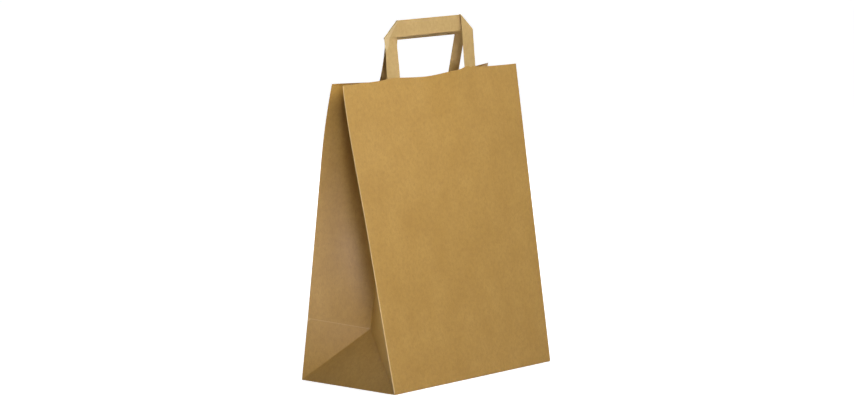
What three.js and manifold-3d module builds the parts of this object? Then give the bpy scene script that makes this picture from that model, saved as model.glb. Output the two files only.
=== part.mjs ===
import * as THREE from 'three';
import { mergeVertices } from 'three/addons/utils/BufferGeometryUtils.js';
import Module from 'manifold-3d';

// Paper carrier bag: a sack folded from one sheet, with gussets and a block bottom, and two
// flat handles of folded paper tape, each glued inside a panel under a paper patch.
// Millimetres, +Z up. X runs along the width, the front panel faces -Y, and the origin is the
// middle of the base, on the surface that the bag stands on.

// Sack
const bagWidth = 250; // a panel, from fold to fold
const bagDepth = 140; // the base, and a gusset laid flat
const panelHeight = 332; // base fold to rim, along the paper
const paperThickness = 0.15;
const seamWidth = 22; // glued overlap down the back panel
const seamOffset = 68; // middle of the seam from the middle of the back panel
const flapOverlap = 26; // of the two flaps that close the base
const flapInset = 0.5; // from the fold at the base edge to the flat of a flap

// Mouth, as the y of the rim at its four corners
const rimFrontLeft = -1.5;
const rimFrontRight = -25;
const rimBackLeft = 14;
const rimBackRight = 16.5;
const frontRimBulge = 2.5; // the middle of the front rim stands forward of its ends
const backRimBow = 8.5; // the middle of the back rim comes forward of its ends
const backRimCurl = 6; // the top of the back panel curls forward at its folds
const backMiddleCurl = 11; // and by this much more in its middle
const backCurlHeight = 90; // height of paper that takes the curl
const backCreasePush = 0.7; // the crease across the back panel is pressed in
const rimDip = 1.6; // both panels are cut lower in the middle of the rim
const rimDipReach = 50; // from the middle of the dip to its end

// Handles
const tapeWidth = 18;
const tapeThickness = 0.6; // a strip folded into four layers
const handleWidth = 127; // outside of one leg to outside of the other
const handleRise = 61.5; // rim to the top of the grip, along the tape
const tailLength = 42; // of a leg, glued below the rim
const frontHandleLean = 5.5; // the front grip stands behind its rim
const gripGapLeft = 0.6; // front grip to back grip, at the left ends
const gripGapRight = 8.5; // and at the right ends
const backHandleShift = 5; // the back handle is glued off centre
const legSwayLeft = 3; // the top of a left leg stands to the right of its foot
const legSwayRight = 2; // and the top of a right leg
const rightLegDrop = 2; // a right leg ends lower than a left one
const backHandleDrop = 0.4; // the back handle ends lower than the front one
const backBendLeft = 4; // how soon the back handle's left leg bends forward; 1 is a straight leg
const mitreGap = 0.5; // between the two layers of a folded corner
const mitreLift = 0.4; // a leg's inner edge stands off the grip at a corner
const mitreLiftRight = 2.2; // and at the front handle's right corner
const twistHeight = 20; // above the rim, over which a leg turns to stand off the grip

// Patches
const patchMargin = 18; // past the outside of the handle
const patchDrop = 5; // below the rim
const patchLap = 8; // below the end of a tail
const channelSlack = 1.5; // room beside a leg under the patch
const channelRamp = 3; // width over which the patch comes down beside a leg
const glueGap = 0.3; // between pieces that are glued together

// Facets
const columnPitch = 17;
const rowPitch = 10;
const bendSteps = 6; // round a folded corner of the tape
const gripSteps = 6; // along the grip between its corners
const weldDistance = 1e-5; // points closer than this are one

const kraft = 0xb0884a;
const tapeKraft = 0xc7ad72;

const halfWidth = bagWidth / 2;
const halfDepth = bagDepth / 2;
const baseZ = 2 * paperThickness; // the sack's base lies on two flaps
const handlePitch = mitreGap + tapeThickness; // leg to grip, middle to middle

const frontPanel = {
  inward: 1,
  rimLeft: rimFrontLeft,
  rimRight: rimFrontRight,
  bow: -frontRimBulge,
  curl: 0,
  middleCurl: 0,
  crease: 0,
};
const backPanel = {
  inward: -1,
  rimLeft: rimBackLeft,
  rimRight: rimBackRight,
  bow: backRimBow,
  curl: backRimCurl,
  middleCurl: backMiddleCurl,
  crease: backCreasePush,
};

const wasm = await Module();
wasm.setup();

// Steps from the first stop to the last, each span cut into equal parts no longer than pitch
function divide(stops, pitch) {
  const steps = [stops[0]];
  for (let i = 1; i < stops.length; i += 1) {
    const span = stops[i] - stops[i - 1];
    const count = Math.ceil(span / pitch);
    for (let k = 1; k <= count; k += 1) steps.push(stops[i - 1] + (span * k) / count);
  }
  return steps;
}

// Point on the outer face of a panel: x across it, s up the paper from the base fold
function panelPoint(panel, x, s) {
  const across = x / bagWidth + 0.5;
  const up = s / panelHeight;
  const foot = -panel.inward * halfDepth;
  const middle = 4 * across * (1 - across);
  const rim = THREE.MathUtils.lerp(panel.rimLeft, panel.rimRight, across);
  const lean = rim + panel.inward * panel.bow * middle - foot;
  const slope = lean / panelHeight;
  const rise = Math.sqrt(1 - slope ** 2);
  const curlUp = Math.max(0, (s - panelHeight + backCurlHeight) / backCurlHeight);
  const fromCrease = s < halfDepth ? s / halfDepth : (panelHeight - s) / (panelHeight - halfDepth);
  const curl = panel.curl + panel.middleCurl * middle;
  const pressed = panel.inward * (curl * (curlUp ** 2 - up) + panel.crease * fromCrease);
  const drawnDown = (slope / rise) * pressed + (2 * curl ** 2 * curlUp ** 3) / (3 * backCurlHeight);
  return new THREE.Vector3(x, foot + slope * s + pressed, baseZ + rise * s - drawnDown);
}

// Direction from a panel's outer face into the bag
function panelInward(panel, x, s) {
  const reach = paperThickness;
  const alongX = panelPoint(panel, x + reach, s).sub(panelPoint(panel, x - reach, s));
  const alongS = panelPoint(panel, x, s + reach).sub(panelPoint(panel, x, s - reach));
  return alongS.cross(alongX).normalize().multiplyScalar(panel.inward);
}

// Point at a depth under the outer face of a panel
function panelInside(panel, x, s, depth) {
  return panelPoint(panel, x, s).addScaledVector(panelInward(panel, x, s), depth);
}

// Indexed geometry of a closed body, with its faces turned out
function closedGeometry(triangles) {
  const soup = new THREE.BufferGeometry().setFromPoints(triangles.flat());
  const geometry = mergeVertices(soup, weldDistance);
  let volume = 0;
  for (const [a, b, c] of triangles) volume += a.dot(b.clone().cross(c));
  if (volume < 0) geometry.index.array.reverse();
  return geometry;
}

function addQuad(triangles, a, b, c, d) {
  triangles.push([a, b, c], [a, c, d]);
}

function addGrid(triangles, grid, turned) {
  for (let i = 1; i < grid.length; i += 1) {
    for (let j = 1; j < grid[i].length; j += 1) {
      const corners = [grid[i - 1][j - 1], grid[i - 1][j], grid[i][j], grid[i][j - 1]];
      if (turned) corners.reverse();
      addQuad(triangles, ...corners);
    }
  }
}

function toSolid(geometry) {
  const mesh = new wasm.Mesh({
    numProp: 3,
    vertProperties: new Float32Array(geometry.getAttribute('position').array),
    triVerts: new Uint32Array(geometry.index.array),
  });
  return new wasm.Manifold(mesh);
}

function toGeometry(solid) {
  const mesh = solid.getMesh();
  const geometry = new THREE.BufferGeometry();
  geometry.setAttribute('position', new THREE.BufferAttribute(mesh.vertProperties, 3));
  geometry.setIndex(new THREE.BufferAttribute(mesh.triVerts, 1));
  return geometry;
}

// Rows and columns of the sack's sheet
const seamEdges = [seamOffset - seamWidth / 2, seamOffset + seamWidth / 2];
const columns = divide([-halfWidth, ...seamEdges, halfWidth], columnPitch);
const rows = [0, ...divide([halfDepth, panelHeight], rowPitch)];

function panelGrid(panel, xs, ss, depth) {
  return ss.map((s) => xs.map((x) => panelInside(panel, x, s, depth)));
}

// A whole panel, with the dip in its cut edge
function panelSkin(panel) {
  const grid = panelGrid(panel, columns, rows, 0);
  grid[grid.length - 1] = columns.map((x) => {
    const fromMiddle = Math.min(1, Math.abs(x) / rimDipReach);
    return panelPoint(panel, x, panelHeight - rimDip * Math.cos((Math.PI / 2) * fromMiddle) ** 2);
  });
  return grid;
}

// Top of the gusset's lower triangle: half a gusset from the middle of the base edge and from
// the two panel folds beside it, so it stands over the centre of the circle through the three
function gussetApex(side, frontFold, backFold) {
  const front = { y: frontFold.y, z: frontFold.z - baseZ };
  const back = { y: backFold.y, z: backFold.z - baseZ };
  const frontSquare = front.y ** 2 + front.z ** 2;
  const backSquare = back.y ** 2 + back.z ** 2;
  const scale = 2 * (front.y * back.z - front.z * back.y);
  const y = (back.z * frontSquare - front.z * backSquare) / scale;
  const z = (front.y * backSquare - back.y * frontSquare) / scale;
  const reach = Math.sqrt(halfDepth ** 2 - y ** 2 - z ** 2);
  return new THREE.Vector3(side * (halfWidth - reach), y, baseZ + z);
}

// Middle crease of a gusset, row by row from the apex up. It stays half way between the
// panels, half a gusset from the farther panel fold, and as long as the paper between rows.
function gussetCrease(side, frontFold, backFold) {
  const crease = [gussetApex(side, frontFold[1], backFold[1])];
  const settleTurns = 40;
  for (let i = 2; i < rows.length; i += 1) {
    const below = crease[i - 2];
    const step = rows[i] - rows[i - 1];
    const point = below.clone();
    point.z += step;
    for (let turn = 0; turn < settleTurns; turn += 1) {
      const front = panelPoint(frontPanel, point.x, rows[i]);
      const back = panelPoint(backPanel, point.x, rows[i]);
      point.y = (front.y + back.y) / 2;
      const toFront = (point.y - frontFold[i].y) ** 2 + (point.z - frontFold[i].z) ** 2;
      const toBack = (point.y - backFold[i].y) ** 2 + (point.z - backFold[i].z) ** 2;
      point.x = side * (halfWidth - Math.sqrt(halfDepth ** 2 - Math.max(toFront, toBack)));
      const sideways = (point.x - below.x) ** 2 + (point.y - below.y) ** 2;
      point.z = below.z + Math.sqrt(step ** 2 - sideways);
    }
    crease.push(point);
  }
  return crease;
}

// A gusset: three flat triangles at the base, and two long strips from panel fold to crease
function addGusset(triangles, side, frontFold, backFold, crease) {
  const apex = crease[0];
  const faces = [
    [frontFold[0], frontFold[1], apex],
    [backFold[0], apex, backFold[1]],
    [frontFold[0], apex, backFold[0]],
  ];
  for (let i = 2; i < rows.length; i += 1) {
    addQuad(faces, crease[i - 2], frontFold[i - 1], frontFold[i], crease[i - 1]);
    addQuad(faces, backFold[i - 1], crease[i - 2], crease[i - 1], backFold[i]);
  }
  for (const face of faces) triangles.push(side < 0 ? face : face.toReversed());
}

// Gives an open skin its thickness: each point moves in until every face that meets there has
// moved in by the thickness, and the two skins are joined round the open edge
function thicken(skin, thickness) {
  const geometry = mergeVertices(new THREE.BufferGeometry().setFromPoints(skin.flat()), weldDistance);
  const position = geometry.getAttribute('position');
  const index = geometry.index.array;
  const outer = [];
  for (let v = 0; v < position.count; v += 1) {
    outer.push(new THREE.Vector3().fromBufferAttribute(position, v));
  }
  const sums = outer.map(() => ({ square: new Array(9).fill(0), normal: new THREE.Vector3() }));
  const face = new THREE.Triangle();
  const normal = new THREE.Vector3();
  const edges = new Map();
  for (let t = 0; t < index.length; t += 3) {
    const corners = [index[t], index[t + 1], index[t + 2]];
    face.set(...corners.map((v) => outer[v])).getNormal(normal);
    const n = normal.toArray();
    corners.forEach((v, k) => {
      for (let e = 0; e < 9; e += 1) sums[v].square[e] += n[Math.floor(e / 3)] * n[e % 3];
      sums[v].normal.add(normal);
      edges.set(`${v}>${corners[(k + 1) % 3]}`, [v, corners[(k + 1) % 3]]);
    });
  }
  const steady = 1e-6;
  const inner = outer.map((point, v) => {
    const square = sums[v].square.map((value, e) => value + (e % 4 === 0 ? steady : 0));
    const move = sums[v].normal.clone().applyMatrix3(new THREE.Matrix3(...square).invert());
    return point.clone().addScaledVector(move, -thickness);
  });
  const triangles = [];
  for (let t = 0; t < index.length; t += 3) {
    const corners = [index[t], index[t + 1], index[t + 2]];
    triangles.push(corners.map((v) => outer[v]));
    triangles.push(corners.map((v) => inner[v]).reverse());
  }
  for (const [from, to] of edges.values()) {
    if (!edges.has(`${to}>${from}`)) addQuad(triangles, outer[to], outer[from], inner[from], inner[to]);
  }
  return closedGeometry(triangles);
}

// Closed sheet between two grids of points
function sheetGeometry(outer, inner) {
  const triangles = [];
  const last = outer.length - 1;
  const end = outer[0].length - 1;
  addGrid(triangles, outer, false);
  addGrid(triangles, inner, true);
  addGrid(triangles, [inner[0], outer[0]], false);
  addGrid(triangles, [outer[last], inner[last]], false);
  addGrid(triangles, [outer, inner].map((grid) => grid.map((row) => row[0])), false);
  addGrid(triangles, [inner, outer].map((grid) => grid.map((row) => row[end])), false);
  return closedGeometry(triangles);
}

// Flap of the base: a trapezium with ends at 45 degrees, from one long edge past the middle
function flapSolid(inward, thickness) {
  const reach = halfDepth - flapInset + flapOverlap / 2;
  const edge = halfWidth - flapInset;
  const start = -inward * (halfDepth - flapInset);
  const shape = new THREE.Shape();
  shape.moveTo(-edge, start);
  shape.lineTo(edge, start);
  shape.lineTo(edge - reach, start + inward * reach);
  shape.lineTo(reach - edge, start + inward * reach);
  const sunk = paperThickness / 2; // into the base that it is glued to
  const depth = thickness + sunk;
  const geometry = new THREE.ExtrudeGeometry(shape, { depth, bevelEnabled: false });
  geometry.deleteAttribute('normal');
  geometry.deleteAttribute('uv');
  geometry.translate(0, 0, baseZ - thickness);
  return toSolid(mergeVertices(geometry, weldDistance));
}

// Second layer of paper along the glued seam
function seamSolid() {
  const xs = columns.filter((x) => x >= seamEdges[0] && x <= seamEdges[1]);
  const ss = [...rows];
  ss[0] = flapInset;
  ss[ss.length - 1] = panelHeight - flapInset;
  const outer = panelGrid(backPanel, xs, ss, -paperThickness);
  const inner = panelGrid(backPanel, xs, ss, paperThickness / 2);
  return toSolid(sheetGeometry(outer, inner));
}

function sackGeometry() {
  const front = panelSkin(frontPanel);
  const back = panelSkin(backPanel);
  const skin = [];
  addGrid(skin, front, false);
  addGrid(skin, back, true);
  addGrid(skin, [back[0], front[0]], false);
  for (const side of [-1, 1]) {
    const column = side < 0 ? 0 : columns.length - 1;
    const frontFold = front.map((row) => row[column]);
    const backFold = back.map((row) => row[column]);
    addGusset(skin, side, frontFold, backFold, gussetCrease(side, frontFold, backFold));
  }
  let solid = toSolid(thicken(skin, paperThickness));
  solid = solid.add(seamSolid());
  solid = solid.add(flapSolid(frontPanel.inward, paperThickness));
  solid = solid.add(flapSolid(backPanel.inward, 2 * paperThickness));
  return toGeometry(solid);
}

// Middle of the tape of a leg, at x and at a height above the rim (below it where negative)
function legPoint(handle, x, height) {
  const depth = paperThickness + glueGap + tapeThickness / 2;
  if (height <= 0) return panelInside(handle.panel, x, panelHeight + height, depth);
  const rim = panelInside(handle.panel, x, panelHeight, depth);
  const lean = x < 0 ? handle.leanLeft : handle.leanRight;
  const bend = x < 0 ? handle.bendLeft : handle.bendRight;
  const sway = x < 0 ? legSwayLeft : legSwayRight;
  const drop = handle.drop + (x < 0 ? 0 : rightLegDrop);
  const up = height / handleRise;
  const top = Math.sqrt(handleRise ** 2 - lean ** 2) - drop;
  return rim.add(new THREE.Vector3(sway * up, lean * (1 - (1 - up) ** bend), top * up));
}

// Direction out of the bag, square to a leg
function legOutward(handle, x, height) {
  const reach = 1;
  const above = legPoint(handle, x, height + reach);
  const along = above.sub(legPoint(handle, x, height - reach)).normalize();
  return new THREE.Vector3(0, along.z, -along.y).multiplyScalar(-handle.panel.inward);
}

// A direction turned the least way that makes it square to an axis
function squareTo(direction, axis) {
  return direction.clone().projectOnPlane(axis).normalize();
}

// Crosswise station of a tape: its outer and inner edge, and the way that its outside faces
function tapeStation(outer, inner, facing) {
  return { outer, inner, outward: squareTo(facing, inner.clone().sub(outer)) };
}

// One leg of a handle with its folded corner, as stations of the tape from the tail up
function legStations(handle, side) {
  const outerX = handle.shift + (side * handleWidth) / 2;
  const innerX = outerX - side * tapeWidth;
  const lift = side < 0 ? mitreLift : handle.liftRight;
  const shoulder = handleRise - tapeWidth;
  const stations = [];
  const addStation = (outerHeight, innerHeight) => {
    const outward = legOutward(handle, (outerX + innerX) / 2, outerHeight);
    const raised = lift * THREE.MathUtils.smoothstep(innerHeight, 0, twistHeight);
    const outer = legPoint(handle, outerX, outerHeight);
    const inner = legPoint(handle, innerX, innerHeight).addScaledVector(outward, raised);
    stations.push(tapeStation(outer, inner, outward));
  };
  const heights = divide([-tailLength, 0, twistHeight, shoulder], tapeWidth / 3);
  for (const height of heights.slice(0, -1)) addStation(height, height);
  addStation(shoulder, handleRise);

  // The fold turns over a line at 45 degrees, and opens towards the inner edge by the lift
  const { outer, inner, outward } = stations[stations.length - 1];
  const over = inner.clone().sub(outer).cross(outward).normalize();
  over.multiplyScalar(side * handle.panel.inward);
  for (let k = 1; k <= bendSteps; k += 1) {
    const angle = (Math.PI * k) / bendSteps;
    const past = over.clone().multiplyScalar((Math.sin(angle) * handlePitch) / 2);
    const back = (Math.cos(angle) - 1) / 2;
    const outerTurned = outer.clone().add(past).addScaledVector(outward, back * handlePitch);
    const innerTurned = inner.clone().add(past).addScaledVector(outward, back * (handlePitch + lift));
    const facing = outward.clone().multiplyScalar(Math.cos(angle));
    facing.addScaledVector(over, Math.sin(angle));
    stations.push(tapeStation(outerTurned, innerTurned, facing));
  }
  return stations;
}

// The grip, as the stations between its two folded corners
function gripStations(left, right) {
  const stations = [];
  for (let k = 1; k < gripSteps; k += 1) {
    const part = k / gripSteps;
    const outer = left.outer.clone().lerp(right.outer, part);
    const inner = left.inner.clone().lerp(right.inner, part);
    stations.push(tapeStation(outer, inner, left.outward.clone().lerp(right.outward, part)));
  }
  return stations;
}

// A handle: one tape, up the left leg, over its corner, along the grip and down the right leg
function handleGeometry(handle) {
  const left = legStations(handle, -1);
  const right = legStations(handle, 1).reverse();
  const grip = gripStations(left[left.length - 1], right[0]);
  const rings = [...left, ...grip, ...right].map(({ outer, inner, outward }) => {
    const half = outward.clone().multiplyScalar(tapeThickness / 2);
    return [
      outer.clone().add(half),
      inner.clone().add(half),
      inner.clone().sub(half),
      outer.clone().sub(half),
    ];
  });
  const triangles = [];
  addGrid(triangles, rings.map((ring) => [...ring, ring[0]]), false);
  addQuad(triangles, ...rings[0].toReversed());
  addQuad(triangles, ...rings[rings.length - 1]);
  return closedGeometry(triangles);
}

// A patch: a strip of paper over both tails, raised in a channel along each of them
function patchGeometry(handle) {
  const edge = handleWidth / 2 + patchMargin;
  const legMiddle = (handleWidth - tapeWidth) / 2;
  const channel = tapeWidth / 2 + channelSlack;
  const foot = channel + channelRamp;
  const stops = [legMiddle - foot, legMiddle - channel, legMiddle + channel, legMiddle + foot, edge];
  const mirrored = stops.map((stop) => -stop).reverse();
  const xs = divide([...mirrored, ...stops], columnPitch);
  const top = panelHeight - patchDrop;
  const ss = divide([panelHeight - tailLength - patchLap, top], rowPitch);
  const depthAt = (x) => {
    const fromLeg = Math.abs(Math.abs(x) - legMiddle);
    const raised = THREE.MathUtils.clamp((foot - fromLeg) / channelRamp, 0, 1);
    return paperThickness + glueGap + raised * (tapeThickness + glueGap);
  };
  const layer = (extra) => ss.map((s) => xs.map((x) => {
    return panelInside(handle.panel, handle.shift + x, s, depthAt(x) + extra);
  }));
  return sheetGeometry(layer(0), layer(paperThickness));
}

const frontHandle = {
  panel: frontPanel,
  shift: 0,
  drop: 0,
  liftRight: mitreLiftRight,
  leanLeft: frontHandleLean,
  leanRight: frontHandleLean,
  bendLeft: 1,
  bendRight: 1,
};

// The back handle leans forward until its grip stands a gap behind the front grip
function leanToGrip(side, gap) {
  const reach = backHandleShift + (side * (handleWidth - tapeWidth)) / 2;
  const frontGrip = legPoint(frontHandle, reach, handleRise).y + handlePitch + tapeThickness;
  const backRim = panelPoint(backPanel, reach, panelHeight).y;
  return frontGrip + gap + handlePitch + tapeThickness - backRim;
}
const backHandle = {
  panel: backPanel,
  shift: backHandleShift,
  drop: backHandleDrop,
  liftRight: mitreLift,
  leanLeft: leanToGrip(-1, gripGapLeft),
  leanRight: leanToGrip(1, gripGapRight),
  bendLeft: backBendLeft,
  bendRight: 1,
};

function paperMesh(name, geometry, color) {
  geometry.computeVertexNormals();
  const material = new THREE.MeshStandardMaterial({ color, roughness: 0.75, flatShading: true });
  const mesh = new THREE.Mesh(geometry, material);
  mesh.name = name;
  return mesh;
}

const bag = new THREE.Group();
bag.add(paperMesh('bag_body', sackGeometry(), kraft));
bag.add(paperMesh('front_handle', handleGeometry(frontHandle), tapeKraft));
bag.add(paperMesh('back_handle', handleGeometry(backHandle), tapeKraft));
bag.add(paperMesh('front_handle_patch', patchGeometry(frontHandle), kraft));
bag.add(paperMesh('back_handle_patch', patchGeometry(backHandle), kraft));

export default bag;
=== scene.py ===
# %% [markdown]
# # A paper carrier bag
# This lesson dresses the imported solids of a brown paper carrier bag. The bag is one sheet,
# folded into two panels, two side gussets and a block bottom, with a flat paper handle glued
# inside each panel. Paper is all folds and no volume, so most of the work is to build a thin
# skin whose folds lie where the real sheet is creased.

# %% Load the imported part
import math
from collections import Counter
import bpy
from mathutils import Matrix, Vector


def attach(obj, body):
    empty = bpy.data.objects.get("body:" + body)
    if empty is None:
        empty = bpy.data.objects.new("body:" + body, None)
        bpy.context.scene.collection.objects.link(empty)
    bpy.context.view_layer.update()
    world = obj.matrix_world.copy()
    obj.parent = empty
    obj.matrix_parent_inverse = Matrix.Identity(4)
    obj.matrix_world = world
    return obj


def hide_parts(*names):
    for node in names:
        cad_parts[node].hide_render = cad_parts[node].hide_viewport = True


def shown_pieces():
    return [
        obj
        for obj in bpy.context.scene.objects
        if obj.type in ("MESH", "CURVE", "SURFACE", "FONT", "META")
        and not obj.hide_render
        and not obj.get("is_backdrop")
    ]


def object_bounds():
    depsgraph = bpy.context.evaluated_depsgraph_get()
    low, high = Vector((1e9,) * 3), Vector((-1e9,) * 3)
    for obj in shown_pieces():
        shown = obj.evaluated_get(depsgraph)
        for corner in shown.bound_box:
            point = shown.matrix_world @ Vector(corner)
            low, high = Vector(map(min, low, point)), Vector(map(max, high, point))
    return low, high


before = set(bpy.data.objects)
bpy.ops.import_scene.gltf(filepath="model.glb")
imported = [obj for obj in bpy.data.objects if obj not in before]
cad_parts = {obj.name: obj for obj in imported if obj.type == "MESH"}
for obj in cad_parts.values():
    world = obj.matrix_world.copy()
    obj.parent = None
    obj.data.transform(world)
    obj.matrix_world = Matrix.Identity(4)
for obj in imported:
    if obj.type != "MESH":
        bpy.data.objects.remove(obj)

from types import SimpleNamespace

import bmesh
import bpy
from mathutils import Matrix, Vector, noise

cad_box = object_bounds()


def in_mm(lengths):
    return [round(1000 * v, 1) for v in lengths]


print("solids:", ", ".join(sorted(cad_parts)))
print("solid box, mm:", [in_mm(corner) for corner in cad_box])

# %% [markdown]
# ## The sheet
# A carrier of this kind is sold by three sizes: the width of a panel, the depth of the base and
# the height of the paper. They are measured along the sheet, in metres here. The mouth of the
# bag is pressed half shut and is out of square, so each panel also has the place of its rim at
# its two upper corners, and the back panel curls forward where its handle pulls at it.

# %% Sizes of the sheet
WIDTH = 0.250
DEPTH = 0.140
HEIGHT = 0.332
PAPER = 0.00015
BASE_Z = 2 * PAPER  # the base lies on two glued flaps
CURL_HEIGHT = 0.090  # top part of the back panel, which takes the curl

front = SimpleNamespace(
    inward=1,  # the way along y that leads into the bag
    rim=(-0.0015, -0.025),  # y of the rim at its left and right corners
    bow=-0.0025,  # how far the middle of the rim stands in, or out where negative
    curl=0.0,  # how far the top curls in at the corners
    middle_curl=0.0,  # and how much more in the middle
    crease=0.0,  # how far the crease across the panel stands in
    seed=3.0,  # the panel's own place in the noise
)
back = SimpleNamespace(
    inward=-1,
    rim=(0.014, 0.0165),
    bow=0.0085,
    curl=0.006,
    middle_curl=0.011,
    crease=0.0007,
    seed=8.0,
)
print("flat sheet, mm:", round(2000 * (WIDTH + DEPTH)), "round,", round(1000 * HEIGHT), "high")

# %% [markdown]
# ## What pressing does to a panel
# Paper that has been handled isn't flat. A slow ripple of a fraction of a millimetre runs over
# both panels and fades out at the folds, which hold the paper straight. The front rim also
# bulges out between the legs of its handle, and the left fold of the front panel bows in below
# the stiff glued top. These could be sculpted with a soft brush. As sums of smooth hills and
# noise they are small numbers with names, and they come out the same each time.

# %% Ripple, bulge and bow
RIPPLE = 0.0007
RIPPLE_CELLS = (11.0, 6.0)  # cells of noise in a metre, across a panel and up it
RIPPLE_FADE = 0.06  # height over which the base fold still holds the paper flat
RIM_BULGE = 0.0046
BULGE_MIDDLE = 0.022  # nearer to the right leg than to the left one
BULGE_REACH = 0.043
BULGE_HEIGHT = 0.120
FOLD_BOW = 0.0016
BOW_FOOT = HEIGHT / 2
BOW_PEAK = 27 / 4  # brings the highest value of u * u * (1 - u) to 1


def hill(distance, reach):
    """1 in the middle, sloping smoothly to 0 at its reach."""
    return math.cos(math.pi / 2 * min(1.0, distance / reach)) ** 2


def panel_ripple(panel, x, s):
    """How far the paper stands off its plain panel along y, at x across and s up the sheet."""
    held = math.sin(math.pi * (x / WIDTH + 0.5)) * min(1.0, s / RIPPLE_FADE)
    across, upward = RIPPLE_CELLS
    ripple = RIPPLE * held * noise.noise(Vector((x * across + panel.seed, s * upward, panel.seed)))
    if panel is front:
        up = max(0.0, 1 - (HEIGHT - s) / BULGE_HEIGHT)
        ripple -= RIM_BULGE * up**2 * hill(abs(x - BULGE_MIDDLE), BULGE_REACH)
        up = max(0.0, (s - BOW_FOOT) / (HEIGHT - BOW_FOOT))
        ripple += FOLD_BOW * BOW_PEAK * up**2 * (1 - up) * (0.5 - x / WIDTH) ** 2
    return ripple


print("front bulge at the rim, mm:", in_mm([panel_ripple(front, BULGE_MIDDLE, HEIGHT)]))

# %% [markdown]
# ## A panel as a formula
# A panel could be drawn as a plane and bent with lattices, but then the gussets would not meet
# it. A formula is safer: it takes a place on the flat sheet, x across and s up the paper, and
# gives the point in space. Every other piece asks the same formula, so the folds, the handle
# tails and the patches all stay together.

# %% The panel formula
def panel_point(panel, x, s):
    """The point in space of a place on the flat sheet, x across the panel and s up the paper."""
    across = x / WIDTH + 0.5
    middle = 4 * across * (1 - across)
    foot = -panel.inward * DEPTH / 2
    rim = panel.rim[0] + (panel.rim[1] - panel.rim[0]) * across
    slope = (rim + panel.inward * panel.bow * middle - foot) / HEIGHT
    rise = math.sqrt(1 - slope**2)
    curl_up = max(0.0, (s - HEIGHT + CURL_HEIGHT) / CURL_HEIGHT)
    half = DEPTH / 2
    from_crease = s / half if s < half else (HEIGHT - s) / (HEIGHT - half)
    curl = panel.curl + panel.middle_curl * middle
    pressed = panel.inward * (curl * (curl_up**2 - s / HEIGHT) + panel.crease * from_crease)
    # paper keeps its length, so what is pressed in is drawn down too
    drawn_down = slope / rise * pressed + 2 * curl**2 * curl_up**3 / (3 * CURL_HEIGHT)
    y = foot + slope * s + pressed + panel_ripple(panel, x, s)
    return Vector((x, y, BASE_Z + rise * s - drawn_down))


def panel_inside(panel, x, s, depth):
    """The point that lies this deep under the outer face of a panel."""
    step = PAPER
    along_x = panel_point(panel, x + step, s) - panel_point(panel, x - step, s)
    along_s = panel_point(panel, x, s + step) - panel_point(panel, x, s - step)
    inward = along_s.cross(along_x).normalized() * panel.inward
    return panel_point(panel, x, s) + inward * depth


across_panel = (-WIDTH / 2, 0, WIDTH / 2)
for panel, name in ((front, "front"), (back, "back")):
    print(name, "rim, y in mm:", in_mm(panel_point(panel, x, HEIGHT).y for x in across_panel))

# %% [markdown]
# ## The gussets
# A gusset is a strip as wide as the base is deep, folded inwards along its middle. Near the base
# three flat triangles meet at a point, the apex, half a strip away from the middle of the base
# edge and from both panel folds. From there the middle crease climbs to the rim. It could be
# dragged into place by eye, but paper doesn't stretch, so here each step up keeps its length,
# and the crease is pushed in until the strip is taut to the farther panel fold. That is a small
# march, row by row, with a few settling turns.

# %% Apex and middle crease of a gusset
STEPS = 18  # facets along half a gusset
UPPER_ROWS = 66
SETTLING_TURNS = 40
lower_rows = [DEPTH / 2 * i / STEPS for i in range(STEPS + 1)]
upper_rows = [DEPTH / 2 + (HEIGHT - DEPTH / 2) * i / UPPER_ROWS for i in range(UPPER_ROWS + 1)]


def gusset_apex(side, front_fold, back_fold):
    """Where the three triangles meet, as far from both folds as from the base edge."""
    fy, fz = front_fold.y, front_fold.z - BASE_Z
    by, bz = back_fold.y, back_fold.z - BASE_Z
    scale = 2 * (fy * bz - fz * by)
    y = (bz * (fy**2 + fz**2) - fz * (by**2 + bz**2)) / scale
    z = (fy * (by**2 + bz**2) - by * (fy**2 + fz**2)) / scale
    reach = math.sqrt((DEPTH / 2) ** 2 - y**2 - z**2)
    return Vector((side * (WIDTH / 2 - reach), y, BASE_Z + z))


def gusset_crease(side):
    fold_x = side * WIDTH / 2
    crease = [gusset_apex(side, *[panel_point(p, fold_x, DEPTH / 2) for p in (front, back)])]
    for below_s, s in zip(upper_rows, upper_rows[1:]):
        below = crease[-1]
        folds = [panel_point(p, fold_x, s) for p in (front, back)]
        point = below + Vector((0, 0, s - below_s))
        for _ in range(SETTLING_TURNS):
            point.y = sum(panel_point(p, point.x, s).y for p in (front, back)) / 2
            farther = max((point.y - f.y) ** 2 + (point.z - f.z) ** 2 for f in folds)
            point.x = side * (WIDTH / 2 - math.sqrt((DEPTH / 2) ** 2 - farther))
            sideways = (point.x - below.x) ** 2 + (point.y - below.y) ** 2
            point.z = below.z + math.sqrt((s - below_s) ** 2 - sideways)
        crease.append(point.copy())
    return crease


creases = {side: gusset_crease(side) for side in (-1, 1)}
for side, crease in creases.items():
    print("crease, mm, from", in_mm(crease[0]), "to", in_mm(crease[-1]))

# %% [markdown]
# ## Laying the sheet down as a mesh
# Each flat part of the sheet becomes a patch of small quads or triangles in one bmesh, and the
# patches are welded where they share a fold. A number called fold is kept on every vertex: 1 on
# a crease and 0 beside it. The paper's finish reads it later, to pale the fibres that break
# along a crease; where it is raised on the front panel's left fold and on the handle's bent-back
# corner, it paints a highlight there too. Painting that by hand would be slower, and it would not
# follow the folds.

# %% Helpers that lay patches of paper
def start_sheet():
    bm = bmesh.new()
    bm.verts.layers.float.new("fold")
    return bm


def add_rows(bm, rows, folds):
    """Quads between rows of points. folds(i, j) says how sharply the paper is creased there."""
    layer = bm.verts.layers.float["fold"]
    laid = []
    for i, row in enumerate(rows):
        laid.append([bm.verts.new(point) for point in row])
        for j, vert in enumerate(laid[i]):
            vert[layer] = folds(i, j)
    for low, high in zip(laid, laid[1:]):
        for j in range(1, len(low)):
            bm.faces.new((low[j - 1], low[j], high[j], high[j - 1]))


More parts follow.
